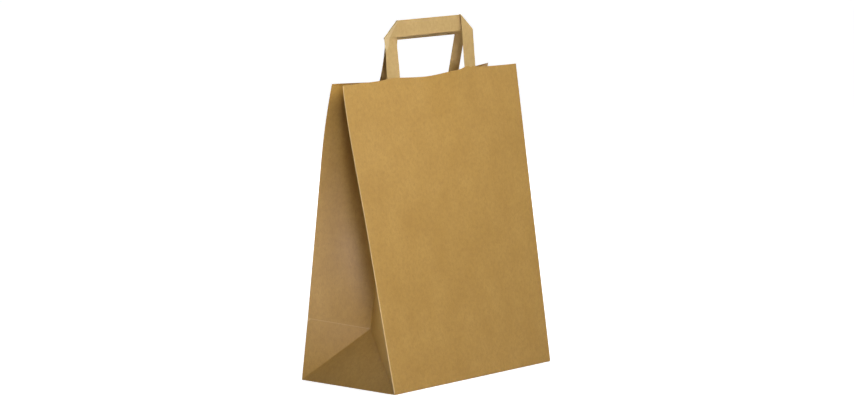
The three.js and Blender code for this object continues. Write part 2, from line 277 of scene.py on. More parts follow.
def add_triangle(bm, a, b, c, folds):
    """A flat triangle of small triangles. folds are the creases of sides ab, ac and bc."""
    layer = bm.verts.layers.float["fold"]
    laid = []
    for i in range(STEPS + 1):
        laid.append([])
        for j in range(STEPS + 1 - i):
            vert = bm.verts.new(a + (b - a) * (j / STEPS) + (c - a) * (i / STEPS))
            on_sides = (i == 0, j == 0, i + j == STEPS)
            vert[layer] = max(fold * on for fold, on in zip(folds, on_sides))
            laid[i].append(vert)
    for i in range(STEPS):
        for j in range(STEPS - i):
            bm.faces.new((laid[i][j], laid[i][j + 1], laid[i + 1][j]))
            if j:
                bm.faces.new((laid[i][j], laid[i + 1][j], laid[i + 1][j - 1]))


print("a triangle of the sheet is laid as", STEPS**2, "small triangles")

# %% Make an object of the patches
WELD = 1e-5  # points nearer than this become one


def new_paper(name, bm):
    """Welds the patches, turns their faces one way and makes an object of them."""
    bmesh.ops.remove_doubles(bm, verts=bm.verts, dist=WELD)
    bmesh.ops.recalc_face_normals(bm, faces=bm.faces)
    mesh = bpy.data.meshes.new(name)
    bm.to_mesh(mesh)
    bm.free()
    mesh.shade_smooth()
    piece = bpy.data.objects.new(name, mesh)
    bpy.context.collection.objects.link(piece)
    return piece


print("patches are welded where points lie within, mm:", 1000 * WELD)

# %% [markdown]
# ## The rim
# The cut edge of the mouth was straight when the sheet was flat. On the pressed bag it rises
# beside the legs and sags between them by a few millimetres, and at the back it lies lower all
# along. One could push the top vertices about by hand. Here a few smooth hills are added up to
# one number, how far the edge lies below the full height, and the seam asks for it as well.

# %% The edge of the rim
FRONT_WAVES = (  # middle, reach and depth of each, rising where the depth is negative
    (-0.008, 0.036, 0.0019),
    (-0.0545, 0.020, -0.0011),
    (0.052, 0.020, -0.0024),
    (0.045, 0.080, -0.0017),
)
BACK_WAVES = ((0.0, 0.125, 0.0028),)
BACK_DROP = 0.0010  # the back rim is lower at its left end


def rim_dip(panel, x):
    dip = 0.0
    for middle, reach, deep in FRONT_WAVES if panel is front else BACK_WAVES:
        dip += deep * hill(abs(x - middle), reach)
    return dip + (BACK_DROP * (0.5 - x / WIDTH) if panel is back else 0.0)


for panel, name in ((front, "front"), (back, "back")):
    print(name, "rim dips by, mm:", in_mm(rim_dip(panel, x) for x in (-WIDTH / 4, 0, WIDTH / 4)))

# %% [markdown]
# ## The strips of a gusset
# Above the apex each half of a gusset is a long strip from a panel fold to the middle crease. A
# straight surface between the two lines would do, but it looks like sheet metal. So the strip
# has a little slack that makes it belly out, more here and less there, and the top of the left
# pocket leans in by a few millimetres, where it catches light from above.

# %% Strips of a gusset
STRIP_SLACK = 0.0008
SLACK_ROWS = 8  # rows above the apex over which the slack sets in
SLACK_MEAN = 0.4  # the noise swings about this share of the slack
SLACK_CELLS = (5.0, 14.0, 1.5)  # cells of noise between sides, in a metre up, and across
POCKET_LEAN = 0.0036
LEAN_ROWS = 3  # rows below the rim over which it leans


def strip_rows(panel, side):
    by_side, upward, across = SLACK_CELLS
    fold_x = side * WIDTH / 2
    leans = panel is back and side < 0
    rows = []
    for k, s in enumerate(upper_rows):
        dip = rim_dip(panel, fold_x) if k == UPPER_ROWS else 0.0
        fold = panel_point(panel, fold_x, s - dip)
        crease = creases[side][k]
        off_strip = (crease - fold).cross(Vector((0, 0, 1))).normalized()
        held = min(1.0, k / SLACK_ROWS)
        lean = max(0.0, (k - UPPER_ROWS + LEAN_ROWS) / LEAN_ROWS) ** 2 * leans
        row = []
        for j in range(STEPS + 1):
            t = j / STEPS
            place = Vector((side * by_side + panel.seed, s * upward, t * across))
            belly = STRIP_SLACK * held * math.sin(math.pi * t)
            belly *= SLACK_MEAN + noise.noise(place)
            belly -= POCKET_LEAN * lean * math.sin(math.pi * t)
            row.append(fold.lerp(crease, t) + off_strip * belly)
        rows.append(row)
    return rows


print("rows in a strip:", len(upper_rows), "with", STEPS + 1, "points each")

# %% [markdown]
# ## The sack
# The sack is the two panels, the base, and for each gusset three triangles and two strips. The
# crease across the back, half a base depth up, is where the bottom was folded over when the bag
# left the machine flat: it crosses the back panel and the back halves of the gussets only. A box
# with its top removed could be folded with bend modifiers, but welded patches keep the measures
# of the flat sheet. The count of open edges shows that only the rim is open.

# %% How sharp each fold is
COLUMNS = 62
FOLD_WEAR_AND_HIGHLIGHT = 1.0  # the left fold of the front panel: rubbed paler than the rest, plus a painted highlight along it
PLAIN_FOLD = 0.70
BACK_CREASE = 0.69
SOFT_CREASE = 0.62


def panel_folds(panel, row, column):
    # the front panel's left fold is rubbed paler and also carries a painted highlight
    if column == 0 and panel is front:
        return FOLD_WEAR_AND_HIGHLIGHT
    if row == 0 or column in (0, COLUMNS):
        return PLAIN_FOLD
    return BACK_CREASE if row == STEPS and panel is back else 0.0


def strip_folds(row, column, edge, crossing):
    return max(edge * (column == 0), SOFT_CREASE * (column == STEPS), crossing * (row == 0))


print("folds from", SOFT_CREASE, "to", FOLD_WEAR_AND_HIGHLIGHT)

# %% Lay the sack
columns = [WIDTH * (i / COLUMNS - 0.5) for i in range(COLUMNS + 1)]
panel_rows = lower_rows + upper_rows[1:]


def lay_panel(bm, panel):
    rows = [[panel_point(panel, x, s) for x in columns] for s in panel_rows[:-1]]
    rows.append([panel_point(panel, x, HEIGHT - rim_dip(panel, x)) for x in columns])
    add_rows(bm, rows, lambda i, j: panel_folds(panel, i, j))


def lay_base(bm):
    ys = [DEPTH * (i / STEPS - 0.5) for i in range(STEPS + 1)]
    rows = [[Vector((x, y, BASE_Z)) for x in columns] for y in ys]
    add_rows(bm, rows, lambda i, j: PLAIN_FOLD * (i in (0, STEPS) or j in (0, COLUMNS)))


def lay_gusset(bm, side):
    apex = creases[side][0]
    feet = [Vector((side * WIDTH / 2, -p.inward * DEPTH / 2, BASE_Z)) for p in (front, back)]
    add_triangle(bm, feet[0], feet[1], apex, (PLAIN_FOLD, SOFT_CREASE, SOFT_CREASE))
    for panel, foot, crossing in ((front, feet[0], 0.0), (back, feet[1], BACK_CREASE)):
        # the front panel's left fold, shared with this gusset, carries wear and a painted highlight
        edge = FOLD_WEAR_AND_HIGHLIGHT if panel is front and side < 0 else PLAIN_FOLD
        fold = panel_point(panel, side * WIDTH / 2, DEPTH / 2)
        add_triangle(bm, foot, fold, apex, (edge, SOFT_CREASE, crossing))
        add_rows(bm, strip_rows(panel, side), lambda i, j: strip_folds(i, j, edge, crossing))


def lay_sack():
    bm = start_sheet()
    lay_panel(bm, front)
    lay_panel(bm, back)
    lay_base(bm)
    lay_gusset(bm, -1)
    lay_gusset(bm, 1)
    return new_paper("paper_sack", bm)


sack = lay_sack()
uses = Counter(key for face in sack.data.polygons for key in face.edge_keys)
open_edges = list(uses.values()).count(1)
print("sack:", len(sack.data.polygons), "faces, open only along", open_edges, "edges of the rim")

# %% [markdown]
# ## Thickness and round folds
# A fold in paper isn't a knife edge: the sheet turns on a radius of a few tenths of a millimetre.
# A Bevel modifier limited by angle rounds every crease at once, and a Solidify modifier then
# gives the skin its thickness inwards. The order matters, because bevelling a solid this thin
# would eat through it. A Weighted Normal modifier keeps the flat parts looking flat.

# %% Give paper its thickness
FOLD_ROUND = 0.0008
FOLD_FACETS = 3
SHARP_ANGLE = math.radians(22)  # folds that turn more than this are rounded
PROBE_HEIGHT = 0.1  # of the place where a face is asked which way it looks


def face_out(piece, probe, direction):
    """Turns all faces over if the one nearest to the probe looks the wrong way."""
    nearest = min(piece.data.polygons, key=lambda p: (p.center - probe).length)
    if nearest.normal.dot(direction) < 0:
        piece.data.flip_normals()


def thicken(piece, thickness, offset=-1.0, fold_round=FOLD_ROUND):
    if fold_round:
        bevel = piece.modifiers.new("round folds", "BEVEL")
        bevel.limit_method = "ANGLE"
        bevel.angle_limit = SHARP_ANGLE
        bevel.width = fold_round
        bevel.segments = FOLD_FACETS
        bevel.use_clamp_overlap = True
    solid = piece.modifiers.new("thickness", "SOLIDIFY")
    solid.thickness = thickness
    solid.offset = offset
    solid.use_even_offset = True
    normals = piece.modifiers.new("flat parts", "WEIGHTED_NORMAL")
    normals.keep_sharp = True


face_out(sack, Vector((0, -DEPTH / 2, PROBE_HEIGHT)), Vector((0, -1, 0)))
thicken(sack, PAPER)
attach(sack, "root")
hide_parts("bag_body")
print("sack stands for bag_body, paper", 1000 * PAPER, "mm thick")

# %% [markdown]
# ## The back seam and the base flaps
# The sheet is closed into a tube by a glued lap down the back panel, and the bottom is closed by
# two flaps that lap over the middle of the base. Both show as a second layer of paper with a
# sharp edge, and no more than a paper's thickness stands out. They could be painted on as lines,
# but a real edge catches the light. A strip that asks the panel formula for its points follows
# the curl of the back panel without any fitting.

# %% Lay the seam
SEAM_WIDTH = 0.022
SEAM_MIDDLE = 0.068
SEAM_COLUMNS = 6
SEAM_ROWS = 84
SEAM_INSET = 0.0005  # from the base fold and from the rim
SEAM_STANDOFF = 0.00002  # keeps the strip clear of the panel


def lay_seam():
    bm = start_sheet()
    xs = [SEAM_MIDDLE + SEAM_WIDTH * (i / SEAM_COLUMNS - 0.5) for i in range(SEAM_COLUMNS + 1)]
    lengths = [HEIGHT - rim_dip(back, x) - 2 * SEAM_INSET for x in xs]
    rows = []
    for i in range(SEAM_ROWS + 1):
        heights = [SEAM_INSET + length * i / SEAM_ROWS for length in lengths]
        rows.append([panel_inside(back, x, s, -SEAM_STANDOFF) for x, s in zip(xs, heights)])
    add_rows(bm, rows, lambda i, j: PLAIN_FOLD * (j in (0, SEAM_COLUMNS)))
    piece = new_paper("back_seam", bm)
    face_out(piece, Vector((SEAM_MIDDLE, DEPTH / 2, PROBE_HEIGHT)), Vector((0, 1, 0)))
    thicken(piece, PAPER, offset=1.0, fold_round=0)
    return piece


seam = lay_seam()
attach(seam, "root")
print(seam.name, "mm:", in_mm(seam.dimensions))

# %% Lay the base flaps
FLAP_LAP = 0.026
FLAP_INSET = 0.0005
FLAP_ROWS = 14
FLAP_COLUMNS = 60


def lay_flap(name, panel, z):
    bm = start_sheet()
    reach = DEPTH / 2 - FLAP_INSET + FLAP_LAP / 2
    rows = []
    for i in range(FLAP_ROWS + 1):
        done = reach * i / FLAP_ROWS
        half = WIDTH / 2 - FLAP_INSET - done
        y = panel.inward * (FLAP_INSET + done - DEPTH / 2)
        rows.append([Vector((half * (2 * j / FLAP_COLUMNS - 1), y, z)) for j in range(FLAP_COLUMNS + 1)])
    add_rows(bm, rows, lambda i, j: PLAIN_FOLD * (i in (0, FLAP_ROWS) or j in (0, FLAP_COLUMNS)))
    piece = new_paper(name, bm)
    face_out(piece, Vector((0, 0, z)), Vector((0, 0, -1)))
    thicken(piece, PAPER, fold_round=0)
    return piece


for name, panel, z in (("inner_base_flap", front, PAPER), ("outer_base_flap", back, 0.0)):
    flap = lay_flap(name, panel, z)
    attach(flap, "root")
    print(flap.name, "mm:", in_mm(flap.dimensions))

# %% [markdown]
# ## The handles
# A flat handle is one paper strip, folded lengthwise into four layers and then turned at each
# corner by a fold at 45 degrees, so that leg and grip lie on each other. Its tails are glued
# inside a panel. No two stand alike: the front handle's left leg is twisted and its corner is
# bent back, and the back handle leans forward until its left end all but touches the front one.
# One could draw each handle by hand. Here all of this is kept as numbers for the left and the
# right leg, so that one formula draws both handles.

# %% Sizes of the handles
TAPE = 0.018
TAPE_THICK = 0.0006
HANDLE_WIDTH = 0.127
HANDLE_RISE = 0.0615
TAIL = 0.042
GLUE = 0.0003
MITRE_GAP = 0.0005
PITCH = MITRE_GAP + TAPE_THICK  # leg to grip, middle to middle
SHOULDER = HANDLE_RISE - TAPE  # height of a leg's outer edge, where the corner begins

front_handle = SimpleNamespace(
    panel=front,
    shift=0.0,  # of the handle's middle, to the right
    lean=(0.0055, 0.0055),  # how far a leg's top leans to the back
    bend=(1, 1),  # how soon it leans, where 1 is a straight leg
    lift=((-0.0022, 0.0024), (0.0, 0.0)),  # twist: the inner edge stands off, at shoulder and top
    sink=(0.0024, 0.0022),  # how much deeper the corner fold lies at its inner end
    splay=(0.0030, 0.0010),  # to the right, at the top
    drop=(0.0, 0.0009),  # below the full rise, at the top
    facet=(0.18, 0.0),  # slope of the bent-back corner
)
print("tape, mm:", in_mm((TAPE, TAPE_THICK)), "handle, mm:", in_mm((HANDLE_WIDTH, HANDLE_RISE)))

# %% [markdown]
# ## Legs that lean
# A leg starts on the inside of its panel, rises from the rim and leans. The back handle has to
# stop just behind the front one, so its lean isn't chosen but worked out from where the front
# grip is. Placing it by eye would work from one side only, and the two would cut into each other
# as soon as a size changed.

# %% Lean of the legs
def leg_point(handle, x, height):
    """Middle of a leg's tape, at a height above the rim, or below it where negative."""
    deep = PAPER + GLUE + TAPE_THICK / 2
    if height <= 0:
        return panel_inside(handle.panel, x, HEIGHT + height, deep)
    side = int(x > 0)
    up = height / HANDLE_RISE
    top = math.sqrt(HANDLE_RISE**2 - handle.lean[side] ** 2) - handle.drop[side]
    forward = handle.lean[side] * (1 - (1 - up) ** handle.bend[side])
    at_rim = panel_inside(handle.panel, x, HEIGHT, deep)
    return at_rim + Vector((handle.splay[side] * up, forward, top * up))


BACK_SHIFT = 0.005
GRIP_GAPS = (0.0006, 0.0085)  # back grip behind the front grip, at the left and the right


def lean_to_grip(side, gap):
    """How far the back handle leans forward, to stop a gap short of the front grip."""
    reach = BACK_SHIFT + side * (HANDLE_WIDTH - TAPE) / 2
    front_grip = leg_point(front_handle, reach, HANDLE_RISE).y + PITCH + TAPE_THICK
    return front_grip + gap + PITCH + TAPE_THICK - panel_point(back, reach, HEIGHT).y


back_handle = SimpleNamespace(
    panel=back,
    shift=BACK_SHIFT,
    lean=(lean_to_grip(-1, GRIP_GAPS[0]), lean_to_grip(1, GRIP_GAPS[1])),
    bend=(2.2, 1),
    lift=((0.0, 0.0004), (0.0, 0.0004)),
    sink=(0.0004, 0.0004),
    splay=(0.0030, 0.0020),
    drop=(0.0004, 0.0024),
    facet=(0.0, 0.0),
)
print("back handle leans, mm:", in_mm(back_handle.lean))

# %% [markdown]
# ## Stations along a tape
# The tape is built as a row of crosswise stations: where its outer and inner edges are, and which
# way it faces. Up the legs the stations are level, at the corner they swing round to the fold
# line, the tape rolls over that line on a half circle, and the grip runs straight to the other
# corner. A curve with a bevel could follow the same path, but it can't make a mitred fold.

# %% Stations of a leg
STATION_STEP = 0.0015
SWING_STEPS = 12
PROBE_STEP = 0.001


def station(outer, inner, facing, heights=None):
    """Both edges of the tape, and the way it faces, square to the line between them."""
    across = (inner - outer).normalized()
    return outer, inner, (facing - across * facing.dot(across)).normalized(), heights


def smooth(u):
    """From 0 to 1 with a soft start and a soft end."""
    return u * u * (3 - 2 * u)


def leg_outward(handle, x, height):
    low, high = (leg_point(handle, x, height + step) for step in (-PROBE_STEP, PROBE_STEP))
    along = (high - low).normalized()
    return Vector((0, along.z, -along.y)) * -handle.panel.inward


def leg_stations(handle, side):
    outer_x = handle.shift + side * HANDLE_WIDTH / 2
    inner_x = outer_x - side * TAPE
    at_shoulder, at_top = handle.lift[int(side > 0)]
    count = int((TAIL + SHOULDER) / STATION_STEP) + 1
    levels = [(h, h) for h in (-TAIL + i * STATION_STEP for i in range(count))]
    levels += [(SHOULDER, SHOULDER + TAPE * i / SWING_STEPS) for i in range(SWING_STEPS + 1)]
    made = []
    for outer_height, inner_height in levels:
        outward = leg_outward(handle, (outer_x + inner_x) / 2, outer_height)
        turned = min(1.0, max(0.0, inner_height / SHOULDER))
        past = max(0.0, inner_height - SHOULDER) / TAPE
        raised = at_shoulder * smooth(turned) + (at_top - at_shoulder) * past
        inner = leg_point(handle, inner_x, inner_height) + outward * raised
        outer = leg_point(handle, outer_x, outer_height)
        made.append(station(outer, inner, outward, (outer_height, inner_height)))
    return made


print("stations on a leg:", len(leg_stations(front_handle, -1)))

# %% [markdown]
# ## Corners and grip
# The corner of the front handle that hands have bent back has a crease of its own, which starts
# on the leg and runs up to the top of the fold line. Beyond that crease the tape slopes away. A
# separate bent piece would leave a joint that real paper doesn't have, so the slope is a depth
# that is added to the stations. The fold line itself counts as a crease, a little worn.

# %% Stations of the corners
FACET_START = 0.44  # place across the tape where its crease begins
FACET_RUN = 0.022  # height over which the slope sets in, below the shoulder
FACET_SLANT = 0.87  # the slope is measured square to the crease, which runs aslant
ROLL_STEPS = 12


def facet_depth(handle, side, across, height):
    """How far the outer part of a corner is bent back, beyond a crease that runs up to its top."""
    bend = handle.facet[int(side > 0)]
    crease = FACET_START + (1 - FACET_START) * max(0.0, height - SHOULDER) / TAPE
    started = min(1.0, max(0.0, (height - SHOULDER + FACET_RUN) / FACET_RUN))
    return bend * started**2 * max(0.0, crease - across) * TAPE * FACET_SLANT


def corner_stations(handle, side, top):
    """The half circle on which the tape rolls over the fold line."""
    outer, inner, outward, _ = top
    outer = outer - outward * facet_depth(handle, side, 0.0, SHOULDER)
    sink = handle.sink[int(side > 0)]
    over = (inner - outer).cross(outward).normalized() * side * handle.panel.inward
    made = []
    for k in range(1, ROLL_STEPS + 1):
        angle = math.pi * k / ROLL_STEPS
        past = over * (math.sin(angle) * PITCH / 2)
        sunk = (math.cos(angle) - 1) / 2
        rolled_outer = outer + past + outward * sunk * PITCH
        rolled_inner = inner + past + outward * sunk * (PITCH + sink)
        facing = outward * math.cos(angle) + over * math.sin(angle)
        made.append(station(rolled_outer, rolled_inner, facing))
    return made


print("corner bent back, mm:", in_mm([facet_depth(front_handle, -1, 0.0, SHOULDER)]))

# %% Stations of the whole tape
GRIP_STEPS = 60
CORNER_FOLD = 0.72


def tape_stations(handle):
    """Stations along the whole tape, and how sharply it is creased at each of them."""
    halves = []
    for side in (-1, 1):
        leg = leg_stations(handle, side)
        corner = corner_stations(handle, side, leg[-1])
        folds = [0.0] * (len(leg) - 1) + [CORNER_FOLD] * (len(corner) + 1)
        halves.append((leg + corner, folds))
    (left, left_folds), (right, right_folds) = halves
    start, end = left[-1], right[-1]
    grip = []
    for k in range(1, GRIP_STEPS):
        outer, inner, facing = (a.lerp(b, k / GRIP_STEPS) for a, b in zip(start[:3], end[:3]))
        grip.append(station(outer, inner, facing))
    return left + grip + right[::-1], left_folds + [0.0] * len(grip) + right_folds[::-1]


print("stations on the front handle:", len(tape_stations(front_handle)[0]))

# %% [markdown]
# ## The section of the tape
# Cut across, the tape is a flat bundle of four layers with two folded edges, and on its inside
# the free edge of the strip shows as a low step. A profile with rounded ends and that step,
# placed at every station, gives edges that catch the light as folded paper does. A plain
# extruded rectangle would look like card.

# %% Section of the tape
HALF_THICK = TAPE_THICK / 2
FLAT_PARTS = 16
FREE_EDGE = 0.36  # place across the tape of the strip's free edge
THINNER = 0.72  # how much of its height the inside keeps beyond that edge

rounded = [(0.0, 0.25), (0.008, 0.7), (0.025, 0.95), (0.06, 1.0)]  # place across, and height
flat = [(i / FLAT_PARTS, 1.0) for i in range(2, FLAT_PARTS - 1)]
outside = rounded + flat + [(1 - u, h) for u, h in rounded[::-1]]
inside = [(u, -h if u < FREE_EDGE else -THINNER * h) for u, h in outside[::-1]]
profile = outside + inside
print("points in the section:", len(profile))

# %% Skin the tapes
FACET_HIGHLIGHT = 0.76  # painted highlight on the bent-back part of a corner, which faces up into the light
# bend at which that painted highlight on the corner is full
FACET_HIGHLIGHT_DEPTH = 0.0002
FINE_WELD = 1e-6  # closes each ring, and leaves its rounded edges apart


def skin_tape(name, handle):
    bm = start_sheet()
    stations, folds = tape_stations(handle)
    rows, fold_and_highlight = [], []
    for (outer, inner, outward, heights), fold in zip(stations, folds):
        side = -1 if outer.x < handle.shift else 1
        ring, marks = [], []
        for u, h in profile:
            bent = 0.0
            if heights:
                low, high = heights
                bent = facet_depth(handle, side, u, low + (high - low) * u)
            ring.append(outer.lerp(inner, u) + outward * (HALF_THICK * h - bent))
            # the paleness of creases, and the painted highlight on the bent-back corner
            marks.append(max(fold, FACET_HIGHLIGHT * min(1.0, bent / FACET_HIGHLIGHT_DEPTH)))
        rows.append(ring + ring[:1])
        fold_and_highlight.append(marks + marks[:1])
    add_rows(bm, rows, lambda i, j: fold_and_highlight[i][j])
    bmesh.ops.remove_doubles(bm, verts=bm.verts, dist=FINE_WELD)
    bmesh.ops.holes_fill(bm, edges=[e for e in bm.edges if e.is_boundary], sides=0)
    piece = new_paper(name, bm)
    normals = piece.modifiers.new("flat parts", "WEIGHTED_NORMAL")
    normals.keep_sharp = True
    return piece


for handle, node in ((front_handle, "front_handle"), (back_handle, "back_handle")):
    tape = skin_tape(node + "_tape", handle)
    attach(tape, "root")
    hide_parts(node)
    print(tape.name, "mm:", in_mm(tape.dimensions))

# %% [markdown]
# ## The patches
# Inside the bag a strip of paper is glued over the two tails of each handle. It lies on the
# panel and is raised along a channel over each tail, with soft shoulders. A Shrinkwrap modifier
# could press a flat strip onto the tails, but a depth under the panel's face is simpler and
# can't slip. The patch hardly shows from outside, but from above it is what tells a made bag
# from a drawing of one.

# %% Lay the patches
PATCH_MARGIN = 0.018  # beyond the outer edges of the legs
PATCH_DROP = 0.005  # below the rim
PATCH_LAP = 0.008  # below the ends of the tails
PATCH_COLUMNS = 164
PATCH_ROWS = 20
CHANNEL_SLACK = 0.0015  # room on each side of a tail
CHANNEL_RAMP = 0.003  # width of a soft shoulder


def patch_depth(x):
    """Depth of the patch under the panel's outer face, at x from the middle of the handle."""
    from_leg = abs(abs(x) - (HANDLE_WIDTH - TAPE) / 2)
    raised = (TAPE / 2 + CHANNEL_SLACK + CHANNEL_RAMP - from_leg) / CHANNEL_RAMP
    return PAPER + GLUE + smooth(min(1.0, max(0.0, raised))) * (TAPE_THICK + GLUE)


def lay_patch(name, handle):
    bm = start_sheet()
    edge = HANDLE_WIDTH / 2 + PATCH_MARGIN
    xs = [edge * (2 * i / PATCH_COLUMNS - 1) for i in range(PATCH_COLUMNS + 1)]
    low, high = HEIGHT - TAIL - PATCH_LAP, HEIGHT - PATCH_DROP
    rows = []
    for i in range(PATCH_ROWS + 1):
        s = low + (high - low) * i / PATCH_ROWS
        rows.append([panel_inside(handle.panel, handle.shift + x, s, patch_depth(x)) for x in xs])
    add_rows(bm, rows, lambda i, j: PLAIN_FOLD * (i in (0, PATCH_ROWS) or j in (0, PATCH_COLUMNS)))
    piece = new_paper(name, bm)
    middle = rows[PATCH_ROWS // 2][PATCH_COLUMNS // 2]
    face_out(piece, middle, Vector((0, handle.panel.inward, 0)))
    thicken(piece, PAPER, offset=1.0, fold_round=0)
    return piece


for handle, node in ((front_handle, "front_handle_patch"), (back_handle, "back_handle_patch")):
    patch = lay_patch(node + "_paper", handle)
    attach(patch, "root")
    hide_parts(node)
    print(patch.name, "mm:", in_mm(patch.dimensions))

# %% [markdown]
# ## Nodes for a finish
# A finish is layers: a base colour, and over it patterns that let other colours through. In the
# node editor one would drag these nodes in one by one. A few helpers do the same in code: a
# colour as it is read off a screen, a stretched noise, a change of range, and a colour laid over
# another where a pattern is strong.

# %% Helpers for the finish
def linear(red, green, blue):
    """A colour as a screen shows it, from 0 to 255, as the light that the shader works with."""
    def one(value):  # the curve that screens use
        value /= 255
        return value / 12.92 if value <= 0.04045 else ((value + 0.055) / 1.055) ** 2.4

    return (one(red), one(green), one(blue), 1.0)


def noise_node(tree, coordinates, cells, detail, roughness=0.5):
    """Noise with this many cells in a metre along x, y and z."""
    mapping = tree.nodes.new("ShaderNodeMapping")
    mapping.inputs["Scale"].default_value = cells
    tree.links.new(coordinates, mapping.inputs["Vector"])
    node = tree.nodes.new("ShaderNodeTexNoise")
    node.inputs["Scale"].default_value = 1.0
    node.inputs["Detail"].default_value = detail
    node.inputs["Roughness"].default_value = roughness
    tree.links.new(mapping.outputs["Vector"], node.inputs["Vector"])
    return node.outputs["Fac"]


def spread(tree, value, low, high, to_low, to_high):
    """Maps the range from low to high onto the range from to_low to to_high."""
    node = tree.nodes.new("ShaderNodeMapRange")
    sockets = ("From Min", "From Max", "To Min", "To Max")
    for name, number in zip(sockets, (low, high, to_low, to_high)):
        node.inputs[name].default_value = number
    tree.links.new(value, node.inputs["Value"])
    return node.outputs["Result"]


def overlay(tree, under, over, pattern, begins, full, strength):
    """Lays a colour over another, from where a pattern begins to where it is at full strength."""
    node = tree.nodes.new("ShaderNodeMix")
    node.data_type = "RGBA"
    factor, colour_a, colour_b = node.inputs[0], node.inputs[6], node.inputs[7]
    tree.links.new(spread(tree, pattern, begins, full, 0, strength), factor)
    for socket, colour in ((colour_a, under), (colour_b, over)):
        if isinstance(colour, tuple):
            socket.default_value = colour
        else:
            tree.links.new(colour, socket)
    return node.outputs[2]


print("middle grey on a screen is light of", round(linear(128, 128, 128)[0], 3))

# %% [markdown]
# ## The paper's finish
# Brown kraft paper is unbleached pulp: a warm, uneven brown with cloudy patches a few
# centimetres wide, a mottle of a few millimetres, short fibres that lie mostly along the machine
# direction, and a fine tooth. A scanned texture would need unwrapping and would show its seams,
# so all of it comes from noise in the object's own space. The fibres are noise stretched along
# z, which is up the sheet. The fold number pales the creases, where the fibres break, and on the
# front panel's left fold and the handle's bent-back corner it also lays a painted highlight.
# Roughness follows the tooth, and a fine bump gives it some depth. The tape of the handles is a
# paler, duller paper of the same kind.

# %% Clouds, fibres and tooth
CLOUDS = (34, 34, 26)  # cells of noise in a metre along x, y and z, here and below
MOTTLE = (260, 260, 210)
LONG_FIBRES = (1500, 1500, 190)
CROSS_FIBRES = (260, 260, 1500)
TOOTH = (1900, 1900, 1200)
TOOTH_BUMP = 0.22
TOOTH_HEIGHT = 0.00012
TOOTH_LOW, TOOTH_HIGH = 0.25, 0.75  # the range in which most of that noise lies
ROUGH_SPREAD = 0.08
GLOSS = 0.3


def paper_finish(name, dark, pale, fibre, wear_and_highlight, rough):
    finish = bpy.data.materials.new(name)
    finish.use_nodes = True
    tree = finish.node_tree
    shader = tree.nodes["Principled BSDF"]
    place = tree.nodes.new("ShaderNodeTexCoord").outputs["Object"]
    clouds = noise_node(tree, place, CLOUDS, detail=4)
    colour = overlay(tree, dark, pale, clouds, begins=0.22, full=0.78, strength=1)
    mottle = noise_node(tree, place, MOTTLE, detail=4, roughness=0.75)
    colour = overlay(tree, colour, fibre, mottle, begins=0.4, full=0.7, strength=0.42)
    long_fibres = noise_node(tree, place, LONG_FIBRES, detail=2)
    colour = overlay(tree, colour, fibre, long_fibres, begins=0.56, full=0.74, strength=0.5)
    cross_fibres = noise_node(tree, place, CROSS_FIBRES, detail=2)
    colour = overlay(tree, colour, pale, cross_fibres, begins=0.6, full=0.76, strength=0.35)
    # pale crease fibres, and a painted highlight where the fold number is raised for it
    fold = tree.nodes.new("ShaderNodeAttribute")
    fold.attribute_name = "fold"
    colour = overlay(tree, colour, wear_and_highlight, fold.outputs["Fac"], begins=0.6, full=1.0, strength=0.95)
    tree.links.new(colour, shader.inputs["Base Color"])
    tooth = noise_node(tree, place, TOOTH, detail=3, roughness=0.65)
    smoother, rougher = rough - ROUGH_SPREAD, rough + ROUGH_SPREAD
    roughness = spread(tree, tooth, TOOTH_LOW, TOOTH_HIGH, smoother, rougher)
    tree.links.new(roughness, shader.inputs["Roughness"])
    bump = tree.nodes.new("ShaderNodeBump")
    bump.inputs["Strength"].default_value = TOOTH_BUMP
    bump.inputs["Distance"].default_value = TOOTH_HEIGHT
    tree.links.new(tooth, bump.inputs["Height"])
    tree.links.new(bump.outputs["Normal"], shader.inputs["Normal"])
    shader.inputs["Specular IOR Level"].default_value = GLOSS
    return finish


print("fibres are", round(LONG_FIBRES[0] / LONG_FIBRES[2]), "times as long as they are wide")

# %% Brown paper and pale tape
kraft = paper_finish(
    "brown_kraft_paper",
    dark=linear(178, 137, 62),
    pale=linear(192, 151, 74),
    fibre=linear(155, 115, 53),
    # pale colour of worn creases, also used as a painted highlight on the front panel's left fold
    wear_and_highlight=linear(247, 217, 154),
    rough=0.44,
)
tape_paper = paper_finish(
    "pale_tape_paper",
    dark=linear(191, 159, 98),
    pale=linear(203, 171, 109),
    fibre=linear(173, 139, 83),
    # pale colour of worn creases, also used as a painted highlight on the bent-back handle corner
    wear_and_highlight=linear(226, 205, 155),
    rough=0.66,
)
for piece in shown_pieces():
    piece.data.materials.clear()
    piece.data.materials.append(tape_paper if "tape" in piece.name else kraft)
    print(piece.name, "is", piece.data.materials[0].name)

# %% [markdown]
# ## Floor and sky
# The photograph has a plain white ground. More light would make a floor white, but it would wash
# out the paper too. So the floor here is a pale matt plane with a glow that only the camera, a
# gloss or a glass can see: it looks white, it puts no more light on the bag, and it keeps the
# soft dark where the bag stands. The sky does the same, and is nearly dark as a light.

# %% Finish of the floor
FLOOR_GREY = 0.45
GLOW_FROM, GLOW_TO = 0.3, 1.6  # distances from the bag between which the glow grows
GLOW_NEAR, GLOW_FAR = 0.88, 1.0


def seen_as_ground(tree):
    """1 for rays from the camera, from a gloss or through glass, which see the ground, else 0."""
    rays = tree.nodes.new("ShaderNodeLightPath")
    seen = rays.outputs["Is Camera Ray"]
    for kind in ("Is Glossy Ray", "Is Transmission Ray"):
        either = tree.nodes.new("ShaderNodeMath")
        either.operation = "MAXIMUM"
        tree.links.new(seen, either.inputs[0])
        tree.links.new(rays.outputs[kind], either.inputs[1])
        seen = either.outputs[0]
    return seen


